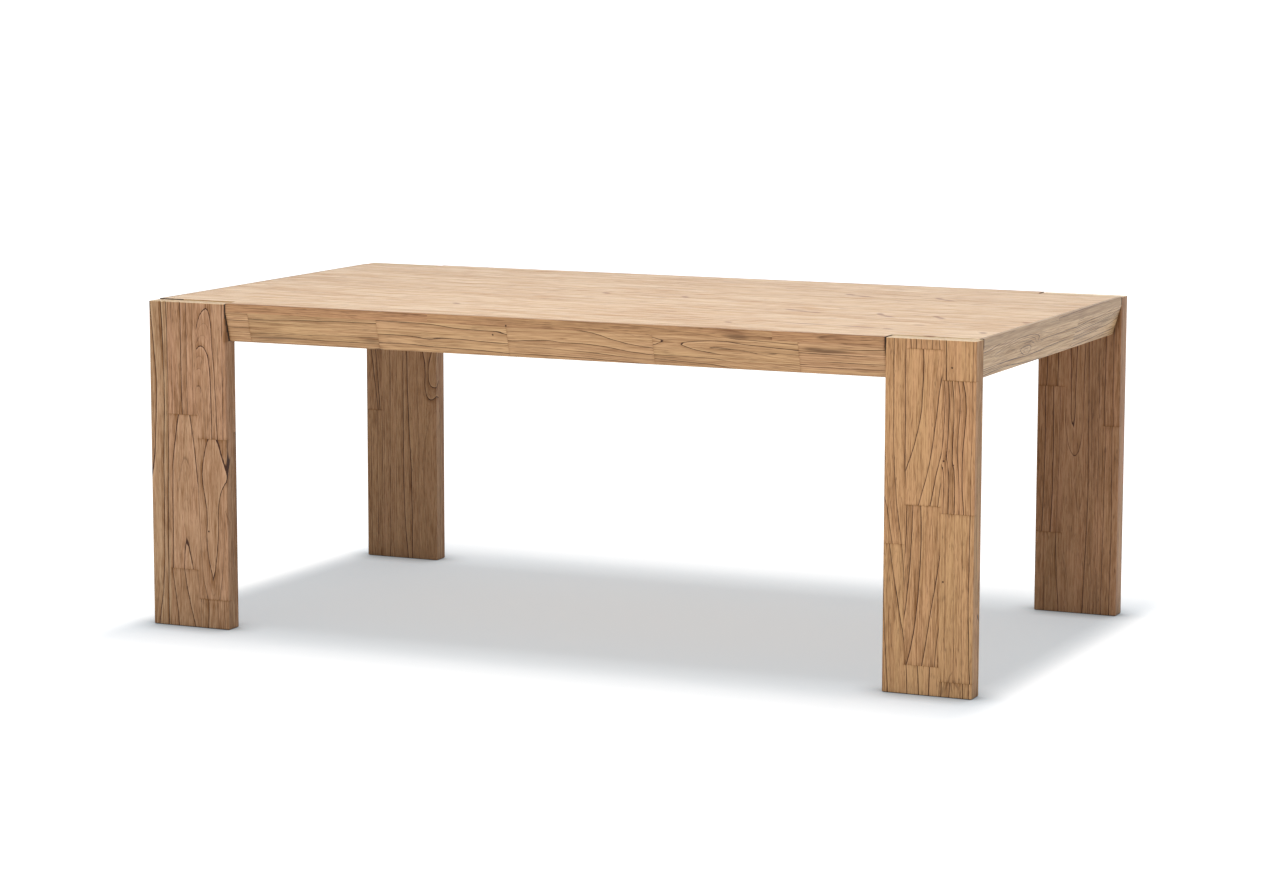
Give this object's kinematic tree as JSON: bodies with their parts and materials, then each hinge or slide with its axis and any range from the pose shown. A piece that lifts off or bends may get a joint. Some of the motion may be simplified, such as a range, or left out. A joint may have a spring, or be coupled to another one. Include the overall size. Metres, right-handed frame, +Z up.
{
  "type": "parsons dining table",
  "caption": "Rectangular dining table of stave-glued wood, with slab legs set in notches at the corners of the top and a bevelled edge.",
  "frame": {"origin": "on the floor, under the middle of the top", "axes": "+X along the table's length, to the right; +Y from its front long side to its back; +Z up"},
  "size_m": [2, 1.07, 0.755],
  "materials": {
    "tabletop_wood": "brushed wood veneer, matt lacquer",
    "lipping_wood": "sanded and brushed solid strips, matt lacquer",
    "apron_wood": "sanded and brushed solid staves, matt lacquer",
    "leg_wood": "sanded and brushed solid staves, matt lacquer",
    "frame_wood": "planed and unfinished",
    "zinc_steel": "bright zinc plate",
    "insert_brass": "turned",
    "glide_nylon": "moulded brown nylon"
  },
  "bodies": {
    "root": {"tabletop_panel": "tabletop_wood", "front_lipping": "lipping_wood", "back_lipping": "lipping_wood", "left_end_lipping": "lipping_wood", "right_end_lipping": "lipping_wood", "front_apron": "apron_wood", "back_apron": "apron_wood", "left_end_apron": "apron_wood", "right_end_apron": "apron_wood", "leg_front_left": "leg_wood", "leg_front_right": "leg_wood", "leg_back_left": "leg_wood", "leg_back_right": "leg_wood", "front_leg_rail": "frame_wood", "back_leg_rail": "frame_wood", "left_bearer": "frame_wood", "centre_bearer": "frame_wood", "right_bearer": "frame_wood", "corner_block_front_left": "frame_wood", "corner_block_front_right": "frame_wood", "corner_block_back_left": "frame_wood", "corner_block_back_right": "frame_wood", "leg_bolts": "zinc_steel", "leg_bolt_washers": "zinc_steel", "leg_bolt_spring_washers": "zinc_steel", "panel_screws": "zinc_steel", "apron_screws": "zinc_steel", "corner_block_screws": "zinc_steel", "leg_threaded_inserts": "insert_brass", "foot_glides": "glide_nylon"}
  },
  "joints": []
}
